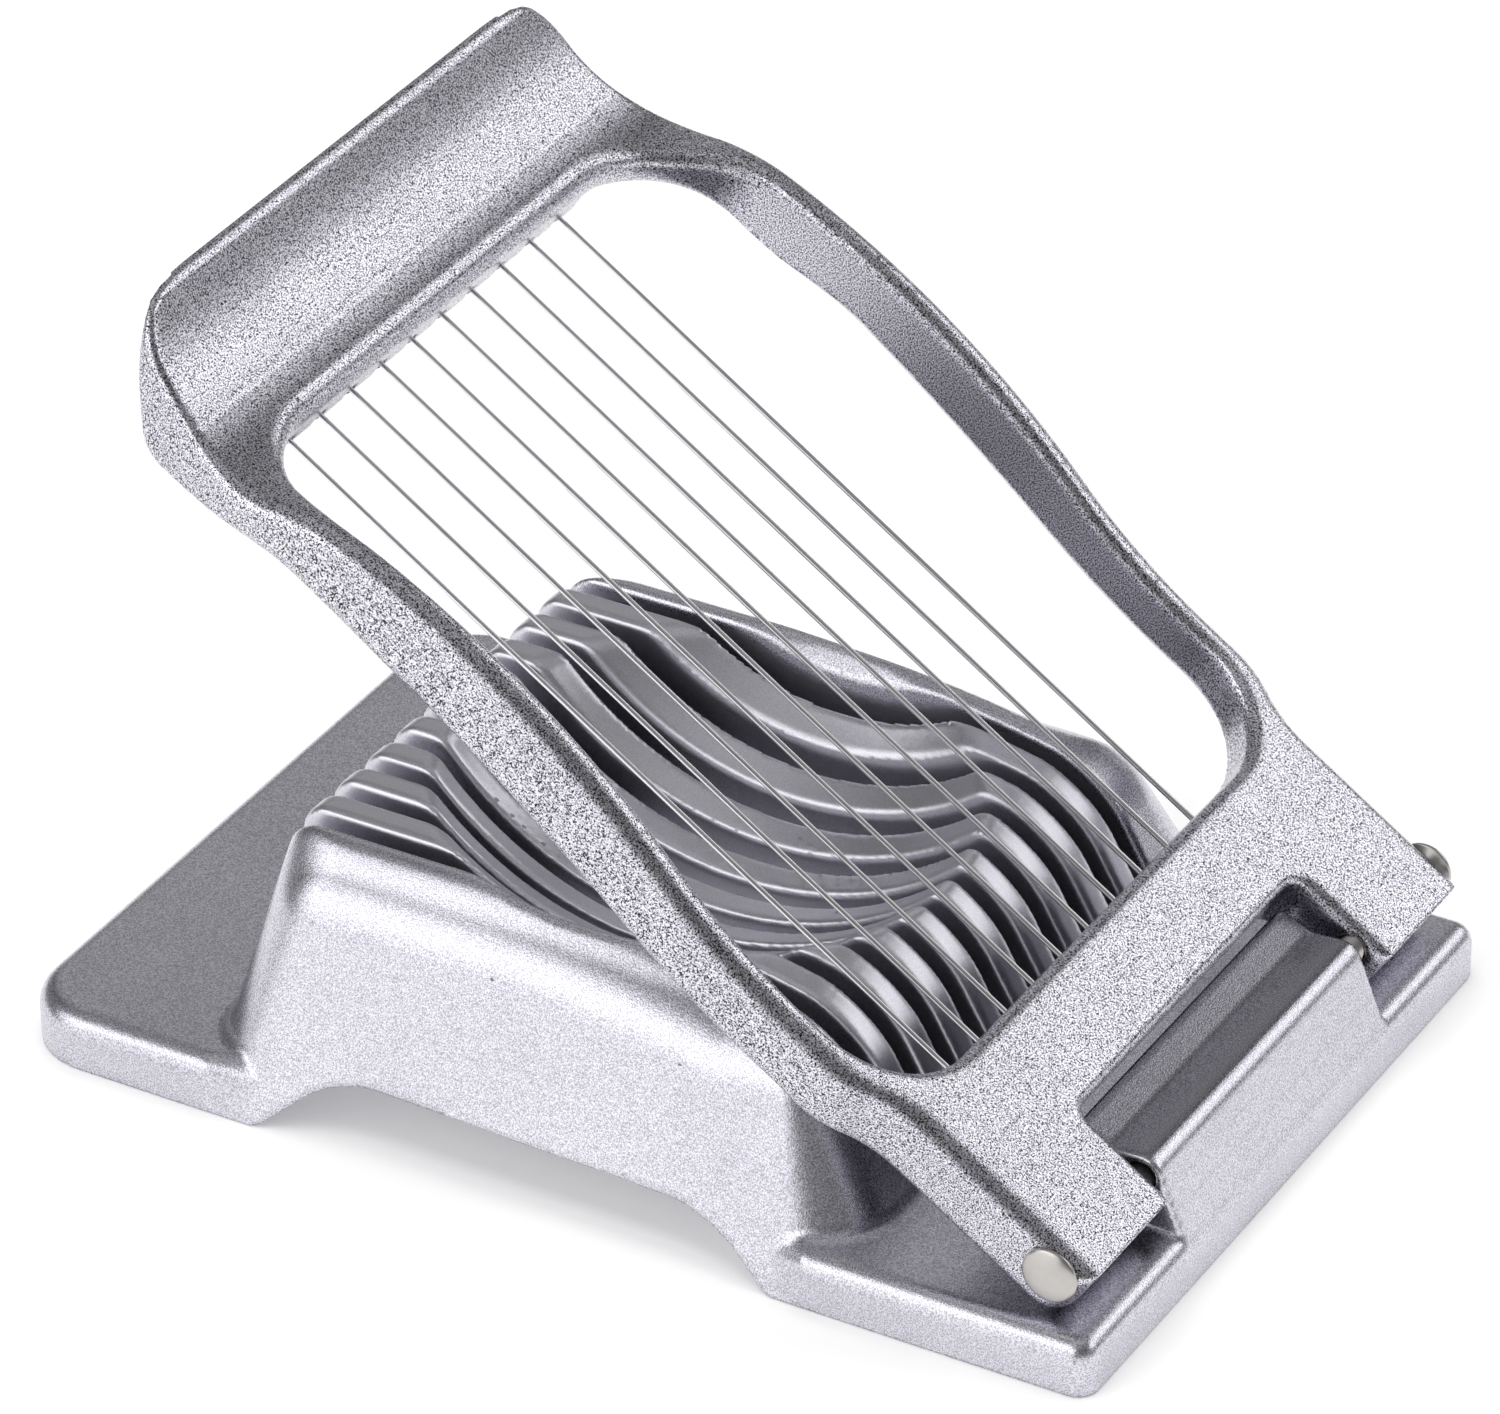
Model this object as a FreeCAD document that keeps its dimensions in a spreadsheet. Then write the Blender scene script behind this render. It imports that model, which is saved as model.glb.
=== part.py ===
import FreeCAD, Part
import os
import re
import Sketcher
from FreeCAD import Placement, Rotation, Vector

SIZES = {
    # Base feet
    "base_length": 108.6,
    "base_width": 75.0,
    "foot_height": 5.4,
    "front_corner_radius": 7.2,
    "rear_corner_radius": 3.2,
    "foot_edge_radius": 1.6,
    "front_run_in": 5.4,
    "rear_run_in": 3.6,
    # Hinge
    "hinge_inset": 4.8,
    "hinge_height": 10.4,
    "raised_angle": 34.0,
    "rivet_diameter": 2.6,
    "rivet_head_diameter": 5.2,
    "rivet_head_height": 1.1,
    "rivet_head_rim": 0.4,
    "rivet_depth": 8.0,
    "running_clearance": 0.05,
    "seat_clearance": 0.02,
    "head_gap": 0.1,
    # Hinge lug of the base, measured from the hinge axis
    "lug_width": 38.6,
    "lug_front": 6.4,
    "lug_front_rise": 3.5,
    "lug_crease": 3.0,
    "lug_crease_rise": 1.95,
    "lug_top_rear": 1.4,
    "lug_top_rise": 2.15,
    "lug_edge_radius": 1.0,
    "lug_corner_radius": 1.5,
    # Egg bed, lengths measured forward from the hinge axis
    "bed_front": 86.1,
    "bed_rear": 15.7,
    "bed_height": 23.8,
    "bed_front_lean": 0.175,
    "bed_rear_lean": 0.565,
    "bed_side_lean": 0.4,
    "bed_front_radius": 3.0,
    "bed_rear_radius": 8.4,
    "bed_rear_top_radius": 1.6,
    "bed_flat_end": 62.0,
    "bed_fall_end": 24.0,
    "bed_fall": 5.2,
    "bed_edge_radius": 2.2,
    # Egg cradle
    "cradle_centre": 51.8,
    "cradle_radius": 32.4,
    "cradle_floor": 11.0,
    # Wires and the slots that take them
    "wire_count": 10,
    "wire_pitch": 5.0,
    "wire_diameter": 0.5,
    "wire_drop": 3.2,
    "slot_width": 2.2,
    "slot_depth_spare": 1.2,
    # Space under the bed
    "tunnel_front": 78.1,
    "tunnel_front_top": 71.0,
    "tunnel_rear_top": 33.4,
    "tunnel_rear": 26.6,
    "tunnel_front_height": 6.1,
    "tunnel_rear_height": 5.2,
    "tunnel_corner_radius": 2.5,
    "relief_height": 7.0,
    "relief_margin": 4.0,
    # Cutting frame, measured from the hinge axis towards the handle and up from the axis when closed
    "frame_overhang": 0.5,
    "ear_inset": 2.7,
    "ear_end": 3.1,
    "ear_round": 3.0,
    "frame_rise": 2.3,
    "frame_depth": 4.7,
    "notch_front": 7.8,
    "notch_gap": 1.4,
    "notch_radius": 1.8,
    "neck_start": 15.5,
    "neck_end": 25.8,
    "opening_rear": 18.0,
    "opening_setback": 15.9,
    "opening_radius": 10.0,
    "arm_width": 3.0,
    "arm_bevel": 2.6,
    "outer_edge_radius": 1.3,
    "inner_edge_radius": 1.0,
    # Arched line of the arms
    "arch_start": 29.0,
    "arch_middle": 46.0,
    "arch_middle_rise": 4.5,
    "arch_setback": 27.9,
    "arch_end_rise": 6.7,
    "sole_end": 31.0,
    "flank_share": 0.27,
    "belly_setback": 25.9,
    "belly_depth": 0.3,
    # Handle, with setbacks measured from its tip
    "tip_reach": 111.9,
    "brow_setback": 20.4,
    "brow_rise": 4.0,
    "scoop_setback": 14.9,
    "scoop_end_setback": 9.9,
    "scoop_rise": 2.0,
    "tip_rise": 6.1,
    "tip_lip": 0.6,
    "heel_front_setback": 6.7,
    "heel_front_depth": 3.08,
    "heel_setback": 10.4,
    "heel_depth": 4.2,
    "heel_rise_setback": 17.9,
    "heel_rise_depth": 1.7,
    "shoulder_setback": 21.9,
    "shoulder_end_setback": 16.4,
    "shoulder_inset": 0.9,
    "waist_setback": 10.4,
    "waist_inset": 2.85,
    "corner_setback": 5.1,
    "corner_start_inset": 4.1,
    "corner_middle_setback": 1.7,
    "corner_middle_inset": 6.2,
    "corner_overrun": 0.5,
    "corner_end_inset": 10.0,
    # Wire rail under the handle
    "rail_margin": 3.5,
    "rail_setback": 8.5,
    "rail_rise": 0.6,
    # Ferrules in the pockets under the bars
    "ferrule_diameter": 2.2,
    "ferrule_length": 3.2,
    "pocket_clearance": 0.1,
    "rear_seat": 12.8,
    "front_seat_setback": 13.3,
    "wire_tail": 0.6,
    "wire_groove": 0.9,
}

HINGE_X = "(base_length / 2 - hinge_inset)"

doc = FreeCAD.newDocument("EggSlicer")
dims = doc.addObject("Spreadsheet::Sheet", "dims")
for row, (alias, size) in enumerate(SIZES.items(), start=1):
    dims.set("A%d" % row, alias)
    dims.set("B%d" % row, str(size))
    dims.setAlias("B%d" % row, alias)
doc.recompute()


def bound(text):
    """Turn sheet names in a formula into references to the sheet."""
    return re.sub(r"[a-z]+(?:_[a-z]+)+", lambda name: "dims." + name.group(0), text)


def value(text):
    """Work out a formula from the sheet."""
    return float(dims.evalExpression(bound(text)))


def bind(thing, prop, text):
    thing.setExpression(prop, bound(text))


def new_body(label):
    body = doc.addObject("PartDesign::Body", label)
    body.Label = label
    return body


def origin_plane(body, role):
    return next(plane for plane in body.Origin.OriginFeatures if plane.Role == role)


def new_sketch(body, name, role, lift=None):
    """Add a sketch on one of the body's own planes, lifted off it along its normal."""
    sketch = body.newObject("Sketcher::SketchObject", name)
    sketch.AttachmentSupport = [(origin_plane(body, role), "")]
    sketch.MapMode = "FlatFace"
    if lift:
        bind(sketch, "AttachmentOffset.Base.z", lift)
    return sketch


def fix_point(sketch, curve, end, x, y):
    """Hold a point of a sketch at coordinates from the sheet, or on an axis where they are 0."""
    for kind, axis, text in (("DistanceX", -2, x), ("DistanceY", -1, y)):
        if text == "0":
            sketch.addConstraint(Sketcher.Constraint("PointOnObject", curve, end, axis))
        else:
            index = sketch.addConstraint(Sketcher.Constraint(kind, curve, end, value(text)))
            bind(sketch, "Constraints[%d]" % index, text)


def tangent_arc(start, heading, end):
    """Arc from start to end that leaves start along heading, and its own heading at the end."""
    chord = end - start
    normal = Vector(-heading.y, heading.x, 0)
    offset = chord.dot(chord) / (2 * chord.dot(normal))
    centre = start + normal * offset
    middle = start + chord * 0.5 - centre
    middle = centre + middle.normalize() * abs(offset)
    if (middle - start).dot(heading) < 0:
        middle = centre * 2 - middle
    unit = Vector(chord).normalize()
    return Part.Arc(start, middle, end), unit * (2 * unit.dot(heading)) - heading


def draw(sketch, outline):
    """Draw a closed outline. It begins with start (x, y), and each step after that is line (x, y),
    arc (x, y) tangent to the step before, or bend (x, y, through x, through y). The last step ends
    at the start."""
    points = [Vector(value(step[1]), value(step[2]), 0) for step in outline]
    first = None
    previous = None
    heading = None
    for step, start, end in zip(outline[1:], points, points[1:]):
        kind = step[0]
        if kind == "line":
            shape = Part.LineSegment(start, end)
            heading = (end - start).normalize()
        elif kind == "arc":
            shape, heading = tangent_arc(start, heading, end)
        else:
            through = Vector(value(step[3]), value(step[4]), 0)
            shape = Part.Arc(start, through, end)
        curve = sketch.addGeometry(shape, False)
        near, far = sorted((1, 2), key=lambda point: (sketch.getPoint(curve, point) - start).Length)
        if previous:
            joint = "Tangent" if kind == "arc" else "Coincident"
            sketch.addConstraint(Sketcher.Constraint(joint, previous[0], previous[1], curve, near))
        else:
            first = (curve, near)
            fix_point(sketch, curve, near, outline[0][1], outline[0][2])
        if kind == "bend":
            middle = sketch.addGeometry(Part.Point(through), True)
            fix_point(sketch, middle, 1, step[3], step[4])
            sketch.addConstraint(Sketcher.Constraint("PointOnObject", middle, 1, curve))
        previous = (curve, far)
        if step is outline[-1]:
            sketch.addConstraint(Sketcher.Constraint("Coincident", curve, far, first[0], first[1]))
        else:
            fix_point(sketch, curve, far, step[1], step[2])


def draw_circle(sketch, x, y, radius):
    centre = Vector(value(x), value(y), 0)
    circle = sketch.addGeometry(Part.Circle(centre, Vector(0, 0, 1), value(radius)), False)
    fix_point(sketch, circle, 3, x, y)
    index = sketch.addConstraint(Sketcher.Constraint("Radius", circle, value(radius)))
    bind(sketch, "Constraints[%d]" % index, radius)


def rounded_outline(low, high, half, low_radius, high_radius):
    """Rectangle from low to high along X and half to each side, with rounded corners."""
    steps = []
    for edge, radius, toward, side in ((high, high_radius, "-", -1), (high, high_radius, "-", 1),
                                       (low, low_radius, "+", 1), (low, low_radius, "+", -1)):
        sign = "-" if side < 0 else ""
        inset_x = "%s %s %s" % (edge, toward, radius)
        inset_y = "%s(%s - %s)" % (sign, half, radius)
        full_y = "%s(%s)" % (sign, half)
        bend_x = "%s %s %s * (1 - sqrt(0.5))" % (edge, toward, radius)
        bend_y = "%s(%s - %s * (1 - sqrt(0.5)))" % (sign, half, radius)
        along, across = (inset_x, full_y), (edge, inset_y)
        begin, finish = (along, across) if (toward == "-") == (side < 0) else (across, along)
        steps.append(("line",) + begin)
        steps.append(("bend",) + finish + (bend_x, bend_y))
    return [("start",) + steps[0][1:]] + steps[1:] + [steps[0]]


def pad(body, sketch, name, length, symmetric=False):
    feature = body.newObject("PartDesign::Pad", name)
    feature.Profile = sketch
    feature.SideType = "Symmetric" if symmetric else "One side"
    bind(feature, "Length", length)
    doc.recompute()
    return feature


def pocket(body, sketch, name, length, symmetric=False, reverse=False):
    """Cut a sketch into the body and check that the cut took something away."""
    before = body.Shape.Volume
    feature = body.newObject("PartDesign::Pocket", name)
    feature.Profile = sketch
    feature.SideType = "Symmetric" if symmetric else "One side"
    feature.Reversed = reverse
    bind(feature, "Length", length)
    doc.recompute()
    if body.Shape.Volume > before - 1e-3:
        raise RuntimeError("%s cuts nothing" % name)
    return feature


def dress(body, name, kind, size, wanted):
    """Fillet or chamfer the edges of the body's last feature that wanted picks."""
    doc.recompute()
    base = body.Tip
    names = ["Edge%d" % number for number, edge in enumerate(base.Shape.Edges, start=1) if wanted(edge)]
    feature = body.newObject("PartDesign::" + kind, name)
    feature.Base = (base, names)
    bind(feature, "Radius" if kind == "Fillet" else "Size", size)
    doc.recompute()
    return feature


def pattern_wires(body, feature, name):
    """Repeat a feature of the first wire at every wire."""
    pattern = body.newObject("PartDesign::LinearPattern", name)
    pattern.Originals = [feature]
    pattern.Direction = (origin_plane(body, "Y_Axis"), [""])
    bind(pattern, "Length", "wire_pitch * (wire_count - 1)")
    bind(pattern, "Occurrences", "wire_count")
    body.Tip = pattern
    doc.recompute()
    return pattern


def cut_both_sides(body, sketch, name):
    """Cut a sketch of the left side right through the frame, and mirror the cut to the right side."""
    cut = pocket(body, sketch, name, symmetric=True, length="8 * frame_depth")
    mirror = body.newObject("PartDesign::Mirrored", name + "_mirrored")
    mirror.Originals = [cut]
    mirror.MirrorPlane = (origin_plane(body, "XZ_Plane"), [""])
    body.Tip = mirror
    doc.recompute()


def level(edge, height):
    return all(abs(vertex.Z - height) < 1e-4 for vertex in edge.Vertexes)


def forward(distance):
    """X of a place that lies this far forward of the hinge axis."""
    return "(%s - (%s))" % (HINGE_X, distance)


def behind_tip(setback):
    """X, on the frame, of a place that lies this far behind the tip of the handle."""
    return "(%s - tip_reach)" % setback


FIRST_WIRE = "(wire_pitch * (wire_count - 1) / 2)"
BED_CROWN = "(bed_height + bed_edge_radius)"
FRAME_HALF = "(base_width / 2 + frame_overhang)"
EAR_HALF = "(base_width / 2 + frame_overhang - ear_inset)"
OPENING_FRONT = "(tip_reach - opening_setback)"
FRONT_SEAT = "(tip_reach - front_seat_setback)"


def make_foot(body, name, front_end):
    """One foot slab that narrows where it runs in under the bed, with a rounded top edge."""
    sign = "-" if front_end else ""
    radius = "front_corner_radius" if front_end else "rear_corner_radius"
    outer = "%s(base_length / 2)" % sign
    inset = "%s(base_length / 2 - %s)" % (sign, radius)
    middle = "%s(base_length / 2 - %s * (1 - sqrt(0.5)))" % (sign, radius)
    wide = forward("tunnel_front + front_run_in") if front_end else forward("tunnel_rear - rear_run_in")
    narrow = forward("tunnel_front") if front_end else forward("tunnel_rear")
    half = "base_width / 2"
    inner_half = "(base_width / 2 - bed_side_lean * foot_height)"
    corner_half = "(base_width / 2 - %s)" % radius
    middle_half = "(base_width / 2 - %s * (1 - sqrt(0.5)))" % radius
    sketch = new_sketch(body, name + "_outline", "XY_Plane")
    draw(sketch, [("start", outer, "-" + corner_half),
                  ("line", outer, corner_half),
                  ("bend", inset, half, middle, middle_half),
                  ("line", wide, half),
                  ("line", narrow, inner_half),
                  ("line", narrow, "-" + inner_half),
                  ("line", wide, "-%s" % half),
                  ("line", inset, "-%s" % half),
                  ("bend", outer, "-" + corner_half, middle, "-" + middle_half)])
    pad(body, sketch, name, "foot_height")
    side = value(outer)
    dress(body, name + "_edge", "Fillet", "foot_edge_radius",
          lambda edge: level(edge, value("foot_height")) and edge.CenterOfMass.x * side > 0)


def make_bed(body):
    """Egg bed block with leaning walls, and a top that is flat in front and falls towards the hinge."""
    foot = new_sketch(body, "bed_foot", "XY_Plane")
    draw(foot, rounded_outline(forward("bed_front"), forward("bed_rear"), "base_width / 2",
                               "bed_front_radius", "bed_rear_radius"))
    crown = new_sketch(body, "bed_crown", "XY_Plane", BED_CROWN)
    draw(crown, rounded_outline(forward("bed_front - bed_front_lean * " + BED_CROWN),
                                forward("bed_rear + bed_rear_lean * " + BED_CROWN),
                                "(base_width / 2 - bed_side_lean * %s)" % BED_CROWN,
                                "bed_front_radius", "bed_rear_top_radius"))
    block = body.newObject("PartDesign::AdditiveLoft", "bed_block")
    block.Profile = foot
    block.Sections = [crown]
    block.Ruled = True
    doc.recompute()
    line = new_sketch(body, "bed_top_line", "XZ_Plane")
    draw(line, [("start", forward("bed_front + foot_height"), "bed_height"),
                ("line", forward("bed_flat_end"), "bed_height"),
                ("arc", forward("bed_fall_end"), "bed_height - bed_fall"),
                ("line", forward("bed_fall_end"), BED_CROWN + " + foot_height"),
                ("line", forward("bed_front + foot_height"), BED_CROWN + " + foot_height"),
                ("line", forward("bed_front + foot_height"), "bed_height")])
    pocket(body, line, "bed_top", symmetric=True, length="2 * base_width")
    seam = value(forward("bed_flat_end"))
    lowest = value("bed_height - bed_fall")

    def on_rim(edge):
        crossing = max(abs(vertex.X - seam) for vertex in edge.Vertexes) < 1e-4
        return min(vertex.Z for vertex in edge.Vertexes) > lowest and not crossing

    dress(body, "bed_rim", "Fillet", "bed_edge_radius", on_rim)


def make_lug(body):
    """Hinge lug that fills the notch of the frame, with a rising front facet and a rounded rear edge."""
    bottom = "(foot_height - foot_edge_radius)"
    sketch = new_sketch(body, "lug_outline", "XZ_Plane")
    draw(sketch, [("start", forward("lug_front"), bottom),
                  ("line", forward("lug_front"), "hinge_height + lug_front_rise"),
                  ("line", forward("lug_crease"), "hinge_height + lug_crease_rise"),
                  ("line", forward("-lug_top_rear"), "hinge_height + lug_top_rise"),
                  ("line", "base_length / 2", bottom),
                  ("line", forward("lug_front"), bottom)])
    pad(body, sketch, "lug", "lug_width", symmetric=True)
    front = value(forward("lug_front"))
    crown = value("hinge_height + lug_top_rise")
    foot = value("foot_height")
    dress(body, "lug_rear_edge", "Fillet", "lug_edge_radius",
          lambda edge: level(edge, crown) and edge.Length > value("lug_width") / 2)
    dress(body, "lug_front_corners", "Fillet", "lug_corner_radius",
          lambda edge: all(abs(vertex.X - front) < 1e-4 for vertex in edge.Vertexes)
          and max(vertex.Z for vertex in edge.Vertexes) > crown
          and min(vertex.Z for vertex in edge.Vertexes) < foot + 1e-3)


def cut_underside(body):
    """Tunnel between the feet, and a relief that opens the slots to it from below."""
    sketch = new_sketch(body, "tunnel_outline", "XZ_Plane")
    draw(sketch, [("start", forward("tunnel_front"), "0"),
                  ("line", forward("tunnel_front_top"), "tunnel_front_height"),
                  ("line", forward("tunnel_rear_top"), "tunnel_rear_height"),
                  ("line", forward("tunnel_rear"), "0"),
                  ("line", forward("tunnel_front"), "0")])
    pocket(body, sketch, "tunnel", symmetric=True, length="2 * base_width")
    corners = [value(forward("tunnel_front_top")), value(forward("tunnel_rear_top"))]
    dress(body, "tunnel_corners", "Fillet", "tunnel_corner_radius",
          lambda edge: any(all(abs(vertex.X - x) < 1e-4 for vertex in edge.Vertexes) for x in corners)
          and edge.Length > value("base_width") / 2)
    relief = new_sketch(body, "relief_outline", "XY_Plane")
    draw(relief, rounded_outline(forward("tunnel_front_top - relief_margin"),
                                 forward("tunnel_rear_top + relief_margin"),
                                 FIRST_WIRE + " + slot_width / 2", "tunnel_corner_radius",
                                 "tunnel_corner_radius"))
    pocket(body, relief, "relief", length="relief_height", reverse=True)


def cut_cradle(body):
    """Round hollow that holds the egg."""
    hollow = body.newObject("PartDesign::SubtractiveSphere", "cradle")
    hollow.AttachmentSupport = [(origin_plane(body, "XY_Plane"), "")]
    hollow.MapMode = "FlatFace"
    bind(hollow, "Radius", "cradle_radius")
    bind(hollow, "AttachmentOffset.Base.x", forward("cradle_centre"))
    bind(hollow, "AttachmentOffset.Base.z", "cradle_floor + cradle_radius")
    doc.recompute()


def cut_slots(body):
    """One slot per wire, open at both ends of the bed and as deep as the closed wire needs."""
    floor = "(hinge_height - wire_drop - slot_depth_spare)"
    low, high = forward("bed_front + foot_height"), forward("bed_rear - slot_width")
    sketch = new_sketch(body, "slot_outline", "XZ_Plane", FIRST_WIRE)
    draw(sketch, [("start", low, floor), ("line", high, floor), ("line", high, BED_CROWN),
                  ("line", low, BED_CROWN), ("line", low, floor)])
    slot = pocket(body, sketch, "slot", symmetric=True, length="slot_width")
    pattern_wires(body, slot, "slots")


def make_base():
    body = new_body("base")
    make_foot(body, "front_foot", True)
    make_foot(body, "rear_foot", False)
    make_bed(body)
    make_lug(body)
    cut_underside(body)
    cut_cradle(body)
    cut_slots(body)
    sketch = new_sketch(body, "lug_hole", "XZ_Plane")
    draw_circle(sketch, HINGE_X, "hinge_height", "rivet_diameter / 2 + seat_clearance")
    pocket(body, sketch, "lug_bore", symmetric=True, length="2 * lug_width")
    return body


def make_frame_blank(body):
    """Side line of the frame across its full width: ears, arched arms and scooped handle."""
    flank = "-(sole_end + (tip_reach - belly_setback - sole_end) * flank_share)"
    flank_height = "((frame_depth - belly_depth) * flank_share - frame_depth)"
    sketch = new_sketch(body, "side_line", "XZ_Plane")
    draw(sketch, [("start", "ear_end", "frame_rise"),
                  ("line", "-arch_start", "frame_rise"),
                  ("arc", "-arch_middle", "arch_middle_rise"),
                  ("arc", behind_tip("arch_setback"), "arch_end_rise"),
                  ("arc", behind_tip("brow_setback"), "brow_rise"),
                  ("arc", behind_tip("scoop_setback"), "scoop_rise"),
                  ("arc", behind_tip("scoop_end_setback"), "scoop_rise"),
                  ("arc", "-tip_reach", "tip_rise"),
                  ("line", "-(tip_reach + tip_lip * 0.7)", "tip_rise - tip_lip"),
                  ("line", behind_tip("heel_front_setback"), "-heel_front_depth"),
                  ("arc", behind_tip("heel_setback"), "-heel_depth"),
                  ("arc", behind_tip("heel_rise_setback"), "-heel_rise_depth"),
                  ("arc", behind_tip("belly_setback"), "-belly_depth"),
                  ("arc", flank, flank_height),
                  ("arc", "-sole_end", "-frame_depth"),
                  ("line", "ear_end - ear_round", "-frame_depth"),
                  ("arc", "ear_end", "ear_round - frame_depth"),
                  ("line", "ear_end", "frame_rise")])
    pad(body, sketch, "blank", "2 * (%s + arm_width)" % FRAME_HALF, symmetric=True)


def trim_frame(body):
    """Cut the blank to the plan of the frame on one side, and mirror the cut."""
    outside = FRAME_HALF + " + 2 * arm_width"
    beyond_tip = "-(tip_reach + 2 * tip_lip)"
    sketch = new_sketch(body, "plan_line", "XY_Plane")
    draw(sketch, [("start", "2 * ear_end", EAR_HALF),
                  ("line", "-neck_start", EAR_HALF),
                  ("arc", "-(neck_start + neck_end) / 2", FRAME_HALF + " - ear_inset / 2"),
                  ("arc", "-neck_end", FRAME_HALF),
                  ("line", behind_tip("shoulder_setback"), FRAME_HALF),
                  ("arc", behind_tip("shoulder_end_setback"), FRAME_HALF + " - shoulder_inset"),
                  ("arc", behind_tip("waist_setback"), FRAME_HALF + " - waist_inset"),
                  ("arc", behind_tip("corner_setback"), FRAME_HALF + " - corner_start_inset"),
                  ("line", beyond_tip, FRAME_HALF + " - corner_start_inset - tip_lip"),
                  ("line", beyond_tip, outside),
                  ("line", "2 * ear_end", outside),
                  ("line", "2 * ear_end", EAR_HALF)])
    cut_both_sides(body, sketch, "plan_trim")


def round_tip(body):
    """Round the two front corners of the handle."""
    beyond_tip = "-(tip_reach + 2 * tip_lip)"
    begin = behind_tip("corner_setback + tip_lip / 2")
    begin_half = FRAME_HALF + " - corner_start_inset + tip_lip / 2"
    middle = behind_tip("corner_middle_setback")
    middle_half = FRAME_HALF + " - corner_middle_inset"
    end_half = FRAME_HALF + " - corner_end_inset"
    sketch = new_sketch(body, "corner_line", "XY_Plane")
    draw(sketch, [("start", begin, begin_half),
                  ("bend", behind_tip("-corner_overrun"), end_half, middle, middle_half),
                  ("line", beyond_tip, end_half),
                  ("line", beyond_tip, FRAME_HALF),
                  ("line", begin, FRAME_HALF),
                  ("line", begin, begin_half)])
    cut_both_sides(body, sketch, "corner_trim")


def open_frame(body):
    """Opening between the arms, bevelled below so that the arms pass the leaning walls of the bed."""
    half = "(%s - arm_width)" % FRAME_HALF
    sketch = new_sketch(body, "opening_outline", "XY_Plane")
    draw(sketch, rounded_outline("-" + OPENING_FRONT, "-opening_rear", half,
                                 "opening_radius", "opening_radius"))
    pocket(body, sketch, "opening", symmetric=True, length="8 * frame_depth")
    reach, rear, side = value(OPENING_FRONT), value("opening_rear"), value(half)

    def on_lower_rim(edge):
        centre = edge.CenterOfMass
        inside = -reach - 1e-3 < centre.x < 1e-3 - rear and abs(centre.y) < side + 1e-3
        first = edge.Vertexes[0]
        upright = max(abs(v.X - first.X) + abs(v.Y - first.Y) for v in edge.Vertexes) < 1e-3
        return inside and not upright and centre.z < value("frame_rise") / 2

    dress(body, "opening_bevel", "Chamfer", "arm_bevel", on_lower_rim)


def upper_rim(body):
    """Codes of the edges that bound the upper side of the body."""
    counts = {}
    for face in body.Tip.Shape.Faces:
        if face.normalAt(*face.Surface.parameter(face.CenterOfMass)).z > 0.3:
            for edge in face.Edges:
                counts[edge.hashCode()] = counts.get(edge.hashCode(), 0) + 1
    return {code for code, count in counts.items() if count == 1}


def soften_frame(body):
    """Round the upper edges of the frame, first the outer ones, then round the opening and the notch."""
    opening_half = value(FRAME_HALF + " - arm_width") + 1e-3
    notch_half = value("lug_width / 2 + notch_gap") + 1e-3
    front, rear, notch_front = -value(OPENING_FRONT), value("-opening_rear"), value("-notch_front")
    tip = value(behind_tip("corner_setback - tip_lip"))

    def inside(edge):
        centre = edge.CenterOfMass
        in_opening = front - 1e-3 < centre.x < rear + 1e-3 and abs(centre.y) < opening_half
        return in_opening or (centre.x > notch_front - 1e-3 and abs(centre.y) < notch_half)

    def along_side(edge):
        crosswise = max(abs(vertex.X - edge.Vertexes[0].X) for vertex in edge.Vertexes) < 1e-3
        return not crosswise and not inside(edge) and edge.CenterOfMass.x > tip

    outer_rim = upper_rim(body)
    dress(body, "outer_edges", "Fillet", "outer_edge_radius",
          lambda edge: edge.hashCode() in outer_rim and along_side(edge))
    inner_rim = upper_rim(body)
    dress(body, "inner_edges", "Fillet", "inner_edge_radius",
          lambda edge: edge.hashCode() in inner_rim and inside(edge))


def cut_wire_pockets(body, name, seat, inward, rim):
    """Pocket for a ferrule and a groove for its wire, open below, repeated at every wire. Inward is +
    where the span of the wire lies towards the handle, and - where it lies towards the hinge."""
    line = "-" + FIRST_WIRE
    pocket_half = "(ferrule_diameter / 2 + pocket_clearance)"
    groove_half = "wire_groove / 2"
    back = "-(%s %s (ferrule_length + 2 * wire_tail))" % (seat, "-" if inward == "+" else "+")
    end = "-(%s %s wire_groove)" % (rim, inward)
    wall = "-" + seat
    roof = pocket_half + " - wire_drop"
    sketch = new_sketch(body, name + "_outline", "XY_Plane", roof)
    draw(sketch, [("start", back, "%s - %s" % (line, pocket_half)),
                  ("line", wall, "%s - %s" % (line, pocket_half)),
                  ("line", wall, "%s - %s" % (line, groove_half)),
                  ("line", end, "%s - %s" % (line, groove_half)),
                  ("line", end, "%s + %s" % (line, groove_half)),
                  ("line", wall, "%s + %s" % (line, groove_half)),
                  ("line", wall, "%s + %s" % (line, pocket_half)),
                  ("line", back, "%s + %s" % (line, pocket_half)),
                  ("line", back, "%s - %s" % (line, pocket_half))])
    hollow = pocket(body, sketch, name, length="4 * frame_depth")
    pattern_wires(body, hollow, name + "_row")


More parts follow.
